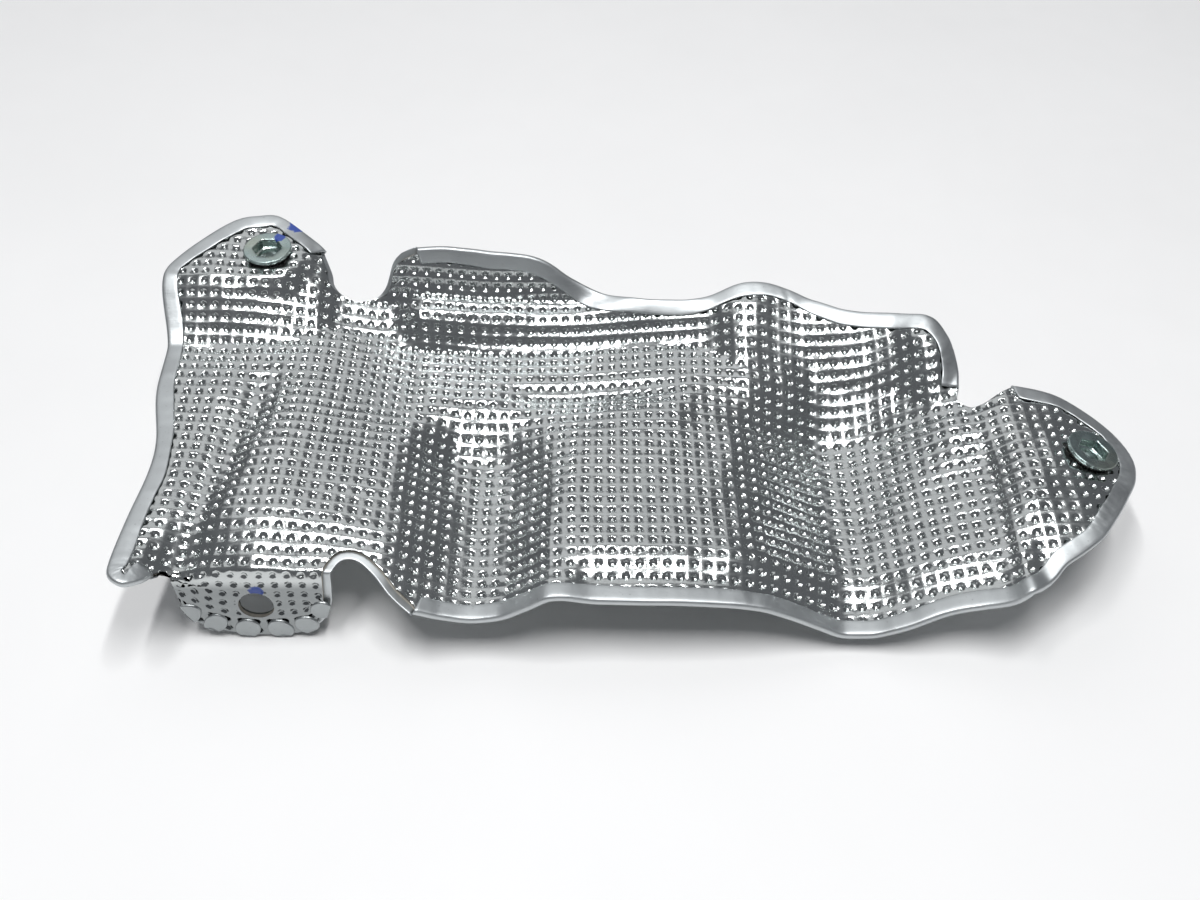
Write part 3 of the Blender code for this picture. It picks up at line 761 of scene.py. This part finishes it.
def noise(tree, where, scale, detail=3.0, stretch=None, roughness=0.5):
    """Smooth noise over the part, finer along the axes that are stretched."""
    source = where
    if stretch:
        mapping = tree.nodes.new("ShaderNodeMapping")
        mapping.inputs["Scale"].default_value = stretch
        tree.links.new(where, mapping.inputs["Vector"])
        source = mapping.outputs["Vector"]
    made = tree.nodes.new("ShaderNodeTexNoise")
    made.inputs["Scale"].default_value = scale
    made.inputs["Detail"].default_value = detail
    made.inputs["Roughness"].default_value = roughness
    tree.links.new(source, made.inputs["Vector"])
    return made.outputs["Fac"]


def ramp(tree, value, low, high, out_low, out_high):
    """A value's range from low to high, mapped to another range and held at its ends."""
    made = tree.nodes.new("ShaderNodeMapRange")
    made.inputs["From Min"].default_value = low
    made.inputs["From Max"].default_value = high
    made.inputs["To Min"].default_value = out_low
    made.inputs["To Max"].default_value = out_high
    tree.links.new(value, made.inputs["Value"])
    return made.outputs["Result"]


def blend_colour(tree, factor, first, second):
    """The first colour where the factor is 0 and the second where it is 1."""
    made = tree.nodes.new("ShaderNodeMix")
    made.data_type = "RGBA"
    tree.links.new(factor, made.inputs[0])
    for slot, colour in ((6, first), (7, second)):
        if isinstance(colour, tuple):
            made.inputs[slot].default_value = (*colour, 1.0)
        else:
            tree.links.new(colour, made.inputs[slot])
    return made.outputs[2]


def calculate(tree, kind, first, second=None):
    """One step of arithmetic on sockets or numbers."""
    made = tree.nodes.new("ShaderNodeMath")
    made.operation = kind
    for slot, value in ((0, first), (1, second)):
        if value is None:
            continue
        if isinstance(value, (int, float)):
            made.inputs[slot].default_value = value
        else:
            tree.links.new(value, made.inputs[slot])
    return made.outputs[0]


def bump(tree, shader, height_value, distance, strength):
    """Relief that only the shading shows."""
    made = tree.nodes.new("ShaderNodeBump")
    made.inputs["Distance"].default_value = distance
    made.inputs["Strength"].default_value = strength
    tree.links.new(height_value, made.inputs["Height"])
    tree.links.new(made.outputs["Normal"], shader.inputs["Normal"])


def paint_dab(tree, where, centre, radius, ragged):
    """1 inside a ragged spot round a point of the part's frame, 0 outside."""
    apart = tree.nodes.new("ShaderNodeVectorMath")
    apart.operation = "DISTANCE"
    tree.links.new(where, apart.inputs[0])
    apart.inputs[1].default_value = centre
    uneven = ramp(tree, noise(tree, where, 420.0, 4.0), 0.3, 0.7, -ragged, ragged)
    span = calculate(tree, "ADD", apart.outputs["Value"], uneven)
    return ramp(tree, span, radius * 1.08, radius * 0.86, 0.0, 1.0)


def lug_painted_shade(tree, where):
    """How strongly painted shade darkens the turned-down lug, more towards its bottom. It lies low at the
    left of the part.
    """
    place = tree.nodes.new("ShaderNodeSeparateXYZ")
    tree.links.new(where, place.inputs["Vector"])
    low = ramp(tree, place.outputs["Z"], 0.0290, 0.0250, 0.0, 0.8)
    left = ramp(tree, place.outputs["X"], -0.0980, -0.1010, 0.0, 1.0)
    return calculate(tree, "MULTIPLY", low, left)


PAINT = (0.035, 0.075, 0.33)
# Colour of the painted shade in the bottoms of the dimples.
DIMPLE_SHADE = (0.20, 0.21, 0.21)
# Colour of the painted shade on the turned-down lug.
LUG_SHADE = (0.22, 0.235, 0.24)
ROW_RIDGE = 2.2  # height of the faint ridges between rows of dimples, against the height of the fine dents


def painted(tree, shader, where, colour, dab, ragged):
    """The colour with a dab of paint over it, and the dab's mask. Paint isn't metallic."""
    centre, radius = dab
    mask = paint_dab(tree, where, centre, radius, ragged * radius)
    tree.links.new(calculate(tree, "SUBTRACT", 1.0, mask), shader.inputs["Metallic"])
    return blend_colour(tree, mask, colour, PAINT), mask


def aluminium(name, bright, dull, rough, grain, dab=None, painted_shade=0.0):
    """Rolled aluminium: uneven brightness, fine rolling lines and scuffs.

    Only an embossed sheet has painted shade, in its dimples and on its lug, and ridges between its rows.
    """
    look, tree, shader, where = nodes_for(name)
    patches = ramp(tree, noise(tree, where, 26.0, 5.0, None, 0.6), 0.32, 0.68, 0.0, 1.0)
    colour = blend_colour(tree, patches, bright, dull)
    specks = ramp(tree, noise(tree, where, 900.0, 2.0), 0.66, 0.78, 0.0, 0.5)
    colour = blend_colour(tree, specks, colour, tuple(0.6 * c for c in dull))
    lines = noise(tree, where, 60.0, 4.0, grain, 0.65)
    smears = ramp(tree, noise(tree, where, 55.0, 6.0, None, 0.7), 0.35, 0.7, rough - 0.05, rough + 0.09)
    roughness = calculate(tree, "ADD", smears, ramp(tree, lines, 0.3, 0.7, -0.03, 0.05))
    if painted_shade:
        # Painted shade in the bottoms of the dimples, which also roughens them a little.
        dimple_shade = ramp(tree, attribute(tree, "dip"), 0.35, 1.0, 0.0, painted_shade)
        colour = blend_colour(tree, dimple_shade, colour, DIMPLE_SHADE)
        roughness = calculate(tree, "ADD", roughness, calculate(tree, "MULTIPLY", dimple_shade, 0.12))
        # Painted shade over the turned-down lug, darker towards its bottom.
        colour = blend_colour(tree, lug_painted_shade(tree, where), colour, LUG_SHADE)
    if dab:
        colour, mask = painted(tree, shader, where, colour, dab, 0.25)
        roughness = calculate(tree, "ADD", roughness, calculate(tree, "MULTIPLY", mask, 0.2))
    colour_and_roughness(tree, shader, colour, roughness)
    dents = ramp(tree, noise(tree, where, 240.0, 3.0), 0.3, 0.7, 0.0, 0.6)
    relief = calculate(tree, "ADD", dents, ramp(tree, lines, 0.3, 0.7, 0.0, 0.4))
    if painted_shade:
        turn = calculate(tree, "COSINE", calculate(tree, "MULTIPLY", attribute(tree, "row"), math.tau))
        relief = calculate(tree, "SUBTRACT", relief, calculate(tree, "MULTIPLY", turn, ROW_RIDGE))
    bump(tree, shader, relief, 0.0001, 0.35)
    return look


def zinc(name, dab=None):
    """Passivated zinc plate: faintly blue-green, with brushed rings and small pits."""
    look, tree, shader, where = nodes_for(name)
    cloud = ramp(tree, noise(tree, where, 140.0, 5.0), 0.35, 0.68, 0.0, 1.0)
    colour = blend_colour(tree, cloud, (0.50, 0.60, 0.59), (0.38, 0.47, 0.46))
    iris = ramp(tree, noise(tree, where, 65.0, 2.0), 0.52, 0.72, 0.0, 0.45)
    colour = blend_colour(tree, iris, colour, (0.55, 0.56, 0.44))
    roughness = ramp(tree, noise(tree, where, 300.0, 4.0), 0.3, 0.7, 0.2, 0.36)
    if dab:
        colour, _ = painted(tree, shader, where, colour, dab, 0.2)
    colour_and_roughness(tree, shader, colour, roughness)
    bump(tree, shader, noise(tree, where, 900.0, 4.0), 0.00008, 0.5)
    return look


def knitted(name):
    """Compressed knitted wire: crossing waves of fine wire, and painted shade in the gaps between them."""
    look, tree, shader, where = nodes_for(name)
    weave = tree.nodes.new("ShaderNodeTexVoronoi")
    weave.inputs["Scale"].default_value = 1500.0
    tree.links.new(where, weave.inputs["Vector"])
    gap = ramp(tree, weave.outputs["Distance"], 0.1, 0.6, 0.0, 1.0)
    # The gaps between the wires are painted nearly black as shade.
    colour = blend_colour(tree, gap, (0.34, 0.33, 0.31), (0.06, 0.06, 0.06))
    colour_and_roughness(tree, shader, colour, ramp(tree, gap, 0.0, 1.0, 0.35, 0.7))
    bump(tree, shader, calculate(tree, "SUBTRACT", 1.0, gap), 0.0003, 0.8)
    return look


def fibre(name):
    """Pressed fibre mat, pale and matte with a felted grain."""
    look, tree, shader, where = nodes_for(name, 0.0)
    grain = noise(tree, where, 700.0, 6.0, (1.0, 3.0, 1.0), 0.7)
    felt = ramp(tree, grain, 0.3, 0.7, 0.0, 1.0)
    colour = blend_colour(tree, felt, (0.66, 0.63, 0.56), (0.50, 0.47, 0.42))
    colour_and_roughness(tree, shader, colour, ramp(tree, grain, 0.2, 0.8, 0.85, 1.0))
    bump(tree, shader, grain, 0.0003, 0.6)
    return look


def floor_paint(name):
    """A plain pale floor with the faintest unevenness."""
    look, tree, shader, where = nodes_for(name, 0.0)
    grain = noise(tree, where, 8.0, 3.0)
    cloud = ramp(tree, grain, 0.3, 0.7, 0.0, 1.0)
    colour = blend_colour(tree, cloud, (0.94, 0.94, 0.94), (0.92, 0.92, 0.92))
    roughness = ramp(tree, noise(tree, where, 60.0, 2.0), 0.3, 0.7, 0.55, 0.65)
    colour_and_roughness(tree, shader, colour, roughness)
    return look


def seat_matrix(bush):
    """Where a bush stands: its seat's centre, with z along the seat's normal."""
    centre = height(np.array([bush["x"]]), np.array([bush["y"]]))[0]
    normal = Vector((-bush["slope"][0], -bush["slope"][1], 1.0)).normalized()
    along = Vector((1.0, 0.0, bush["slope"][0])).normalized()
    across = normal.cross(along)
    turn = Matrix((along, across, normal)).transposed().to_4x4()
    place = Vector((bush["x"], bush["y"], centre)) + Vector(OFFSET)
    return Matrix.Translation(place * MM) @ turn


def smooth_round(profile, radius, steps):
    """A closed section with its corners rounded off."""
    out = []
    size = len(profile)
    for k in range(size):
        here = np.array(profile[k], float)
        before = np.array(profile[k - 1], float)
        after = np.array(profile[(k + 1) % size], float)
        back = np.linalg.norm(before - here)
        ahead = np.linalg.norm(after - here)
        cut = min(radius, 0.45 * back, 0.45 * ahead)
        start = here + (before - here) / back * cut
        end = here + (after - here) / ahead * cut
        for s in range(steps + 1):
            t = s / steps
            out.append(tuple((1 - t) ** 2 * start + 2 * t * (1 - t) * here + t * t * end))
    return out


# The bushes, in millimetres from the seat's centre and above the visible face.
COLLAR_RADIUS = 6.9
COLLAR_BORE = 4.25
WELL_FLATS = 10.6
WELL_DEPTH = 3.9
FLANGE_RADIUS = 10.0
FLANGE_LOW = 1.6
FLANGE_HIGH = 3.2
WASHER_RADIUS = 10.0
WASHER_BOTTOM = -5.9
WASHER_TOP = -4.7
RING_BORE = 7.3
HEXAGON_LIMIT = 1.125  # how far the well's corners reach, against its flats


def bush_flange(side, matrix):
    """The collar: a rounded flange round a hexagonal well, and a tube with a bore below it."""
    segments = 96
    outer = smooth_round([
        (COLLAR_RADIUS, WASHER_BOTTOM + 0.2), (COLLAR_RADIUS, FLANGE_LOW), (FLANGE_RADIUS, FLANGE_LOW),
        (FLANGE_RADIUS, FLANGE_HIGH), (WELL_FLATS / 2 + 1.9, FLANGE_HIGH),
    ], 0.55, 4)[5:-5]
    well_floor = FLANGE_HIGH - WELL_DEPTH
    rows = [(COLLAR_BORE + 0.4, WASHER_BOTTOM + 0.1, 0.0), (COLLAR_RADIUS - 0.4, WASHER_BOTTOM + 0.1, 0.0)]
    rows += [(COLLAR_RADIUS, WASHER_BOTTOM + 0.5, 0.0)]
    rows += [(r, z, 0.0) for r, z in outer]
    rows += [(FLANGE_RADIUS - 0.9, FLANGE_HIGH, 0.0), (FLANGE_RADIUS - 2.2, FLANGE_HIGH, 0.0)]
    half = WELL_FLATS / 2
    rows += [(half + 0.55, FLANGE_HIGH - 0.02, 1.0), (half + 0.22, FLANGE_HIGH - 0.14, 1.0)]
    rows += [(half, FLANGE_HIGH - 0.45, 1.0), (half, FLANGE_HIGH - 2.2, 1.0)]
    rows += [(half, well_floor + 0.15, 1.0), (half - 0.12, well_floor, 1.0)]
    rows += [(COLLAR_BORE + 0.25, well_floor - 0.05, 0.0), (COLLAR_BORE, well_floor - 0.3, 0.0)]
    rows += [(COLLAR_BORE, -3.5, 0.0), (COLLAR_BORE, WASHER_BOTTOM + 0.5, 0.0)]
    points = []
    for step in range(segments):
        angle = math.tau * step / segments
        swing = (angle + math.pi / 6) % (math.pi / 3) - math.pi / 6
        hexagon = min(1 / math.cos(swing), HEXAGON_LIMIT)
        for r, z, six in rows:
            radius = r * (1 + six * (hexagon - 1))
            points.append((radius * math.cos(angle + math.pi / 6), radius * math.sin(angle + math.pi / 6), z))
    return ring_piece(f"bush_flange_{side}", points, segments, matrix)


def ring_section(outer, low, high, rounding, steps):
    """The rounded section of a ring that stands clear of the collar's tube."""
    return smooth_round([(RING_BORE, low), (outer, low), (outer, high), (RING_BORE, high)], rounding, steps)


# Round flats along the lug's lower edge: (x, y, radius), and their section as (share of the radius, level).
CLINCHES = [
    (-150.0, -65.5, 4.6), (-141.0, -73.0, 4.4), (-129.5, -77.5, 4.5), (-117.5, -77.8, 4.5),
    (-107.5, -74.0, 4.2), (-101.0, -66.0, 4.0),
]
CLINCH_RINGS = [(0.0, 0.30), (0.5, 0.30), (0.8, 0.34), (0.9, 0.46), (0.97, 0.5), (1.03, 0.30), (1.08, -0.25)]


def clinches(outline):
    """The round flats where the two sheets are pinched together, trimmed to the outline."""
    points = []
    quads = []
    fans = []
    turns = 36
    for x, y, size in CLINCHES:
        centre = np.array([x, y])
        base = len(points)
        spots = [centre]
        levels = [CLINCH_RINGS[0][1]]
        for reach, level in CLINCH_RINGS[1:]:
            for t in range(turns):
                angle = math.tau * t / turns
                spots.append(centre + size * reach * np.array([math.cos(angle), math.sin(angle)]))
                levels.append(level)
        spots = np.array(spots)
        edge, _ = nearest_on(spots, outline)
        over = ~inside(spots, outline)
        spots[over] = edge[over]
        point, normal = surface(spots)
        points += list(point + normal * np.array(levels)[:, None])
        for t in range(turns):
            n = (t + 1) % turns
            fans.append((base, base + 1 + t, base + 1 + n))
            for r in range(len(CLINCH_RINGS) - 2):
                a = base + 1 + r * turns
                quads.append((a + t, a + turns + t, a + turns + n, a + n))
    return mesh_of("lug_clinches", np.array(points), [quads, fans])


def finish_piece(piece, look, slot, *nodes):
    """Gives a piece its look and its body, and hides the CAD nodes that it stands for. The slot is not used.
    """
    piece.data.materials.clear()
    piece.data.materials.append(look)
    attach(piece, "root")
    if nodes:
        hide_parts(*nodes)


def at_point(x, y, level=0.0):
    """A point of the form in the part's frame, in metres."""
    point, normal = surface(np.array([[x, y]], float))
    return tuple(float(v) for v in (point[0] + normal[0] * level + OFFSET) * MM)


sheet_low = np.array(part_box("outer_sheet")[0]) / MM
OFFSET = sheet_low - np.array(SHEET_LOW)

blank = Blank()
rim = Rim(blank, RIM_STEP)
outline_plan = blank.to_plan(rim.points)
rim_index = np.arange(len(rim.points))
in_notch = (rim_index >= rim.spans[1][0]) & (rim_index < rim.spans[1][1])
beside_notch = in_notch & (outline_plan[:, 1] > NOTCH_SHOWN_Y)
beside_lug = (rim_index >= rim.spans[5][0]) & (outline_plan[:, 0] > LUG_SHOWN_X)
face_edge = np.where(rim.hemmed, EDGE_GAP, BARE_GAP)
face_edge = np.where(beside_notch | beside_lug, SHOWN_EDGE, face_edge)
face_edge = smooth_loop(face_edge, 4)
face_plan = blank.to_plan(rim.points + rim.inward * np.minimum(face_edge, rim.reach)[:, None])
under_hem = ROLL_DEPTH - BACK_LAP + (HEM_FOOT - ROLL_DEPTH) * rim.reach / HEM_WIDTH
under_strip = np.minimum(STRIP_WIDTH, STRIP_SHARE * rim.reach) - BACK_LAP
back_edge = smooth_loop(np.where(rim.hemmed, under_hem, under_strip), 3)
back_plan = blank.to_plan(rim.points + rim.inward * back_edge[:, None])
drape = Drape(blank, outline_plan)

bush_holes = [((bush["x"], bush["y"]), SHEET_HOLE_RADIUS, 9.0) for bush in BUSHES.values()]
holes = bush_holes + [(LUG_HOLE, LUG_HOLE_RADIUS, LUG_HOLE_RADIUS + 0.4)]

# How the rolling lines are stretched on the embossed sheets and on the folded edges.
ROLLED = (1.0, 30.0, 1.0)
FOLDED = (2.0, 2.0, 30.0)

# The embossed face carries painted shade in its dimples and on its lug.
inner_look = aluminium(
    "embossed_aluminium_face", (0.655, 0.68, 0.675), (0.545, 0.57, 0.57), 0.17, ROLLED,
    dab=(at_point(-123.4, -58.0), 0.0026), painted_shade=0.12,
)
hem_look = aluminium(
    "hemmed_aluminium_satin", (0.60, 0.63, 0.64), (0.53, 0.555, 0.565), 0.44, FOLDED,
    dab=(at_point(-131.0, 122.2, HEM_TOP), 0.0036),
)
back_look = aluminium("embossed_aluminium_back", (0.655, 0.68, 0.675), (0.53, 0.55, 0.55), 0.27, ROLLED)
# The clinches get a darker copy of the hems' aluminium: painted shade.
clinch_shaded_look = aluminium("clinched_aluminium_shaded", (0.42, 0.445, 0.45), (0.34, 0.36, 0.365), 0.36, FOLDED)

face = embossed("embossed_face", drape, face_plan, holes, FACE, DIMPLE_RINGS, DIMPLE_DEPTH, None)
finish_piece(face, inner_look, "embossed_aluminium", "inner_sheet")
back = embossed("embossed_back", drape, back_plan, holes, OUTER_BOTTOM, BUMP_RINGS, BUMP_DEPTH, BUMP_FADE, -1)
finish_piece(back, back_look, "hemmed_aluminium", "outer_sheet")

for index, name in HEM_NAMES.items():
    piece = hem(name, rim, rim.spans[index], CREASES[index], PLEATS[index])
    finish_piece(piece, hem_look, "hemmed_aluminium", "outer_sheet")
for index, name in STRIP_NAMES.items():
    piece = edge_strip(name, rim, rim.spans[index])
    finish_piece(piece, hem_look, "hemmed_aluminium", "outer_sheet")
finish_piece(clinches(outline_plan), clinch_shaded_look, "hemmed_aluminium", "outer_sheet")

mat = embossed("insulation_mat", drape, face_plan, holes, MAT_TOP, FLAT_RINGS, 0.0, None)
finish_piece(mat, fibre("insulating_fibre_mat"), "insulating_fibre", "insulation_core")

wire_look = knitted("knitted_wire")
for side, bush in BUSHES.items():
    matrix = seat_matrix(bush)
    dab = (tuple(matrix @ (Vector((4.2, 7.0, FLANGE_HIGH)) * MM)), 0.0026) if side == "left" else None
    zinc_look = zinc(f"zinc_{side}", dab)
    finish_piece(bush_flange(side, matrix), zinc_look, "zinc_plate", f"collar_{side}")
    upper = turned(f"wire_ring_upper_{side}", ring_section(9.1, 0.35, 1.3, 0.4, 3), 72, matrix, 0.004)
    finish_piece(upper, wire_look, "knitted_steel_wire", f"damping_ring_upper_{side}")
    lower = turned(f"wire_ring_lower_{side}", ring_section(9.7, -4.35, -2.65, 0.6, 4), 72, matrix, 0.004)
    finish_piece(lower, wire_look, "knitted_steel_wire", f"damping_ring_lower_{side}")
    washer_section = ring_section(WASHER_RADIUS, WASHER_BOTTOM, WASHER_TOP, 0.3, 3)
    washer = turned(f"washer_{side}", washer_section, 96, matrix)
    finish_piece(washer, zinc_look, "zinc_plate", f"retaining_washer_{side}")

# The setting, in metres and watts.
FLOOR_HALF = 3.0
FLOOR_Z = -0.0005
LAMPS = {
    "tube_left": ((-0.35, -0.2, 1.6), (-0.35, -0.2, 0), (0.09, 0.95), 12),
    "tube_right": ((0.25, -0.2, 1.6), (0.25, -0.2, 0), (0.09, 0.95), 12),
    "soft_back": ((-0.45, 1.7, 1.9), (0, 0, 0), (2.7, 1.6), 8),
}
SURROUND_COLOUR = (0.30, 0.31, 0.33, 1)
SURROUND_STRENGTH = 0.47
FOCAL_LENGTH = 39.0
SENSOR_WIDTH = 36.0
CAMERA_PLACE = (0.0, -341.9, 358.1)  # in millimetres, on the plan axes
CAMERA_TILT = math.radians(45)

floor_mesh = bpy.data.meshes.new("floor")
corners = [(x * FLOOR_HALF, y * FLOOR_HALF, FLOOR_Z) for x, y in ((-1, -1), (1, -1), (1, 1), (-1, 1))]
floor_mesh.from_pydata(corners, [], [(0, 1, 2, 3)])
floor_mesh.materials.append(floor_paint("floor_pale"))
floor = add_object("floor", floor_mesh)


def area_light(name, place, target, size, power):
    """A rectangular lamp that faces its target."""
    data = bpy.data.lights.new(name, "AREA")
    data.shape = "RECTANGLE"
    data.size = size[0]
    data.size_y = size[1]
    data.energy = power
    lamp = add_object(name, data)
    lamp.location = place
    lamp.rotation_euler = (Vector(target) - Vector(place)).to_track_quat("-Z", "Y").to_euler()


for name, settings in LAMPS.items():
    area_light(name, *settings)

world = bpy.data.worlds.new("studio")
bpy.context.scene.world = world
world.use_nodes = True
bpy.context.scene.view_settings.view_transform = "Standard"
background = world.node_tree.nodes["Background"]
background.inputs["Color"].default_value = SURROUND_COLOUR
background.inputs["Strength"].default_value = SURROUND_STRENGTH

lens = bpy.data.cameras.new("camera")
lens.lens = FOCAL_LENGTH
lens.sensor_width = SENSOR_WIDTH
camera = add_object("camera", lens)
camera.location = Vector(CAMERA_PLACE) * MM + Vector(OFFSET) * MM
camera.rotation_euler = (CAMERA_TILT, 0, 0)
bpy.context.scene.camera = camera
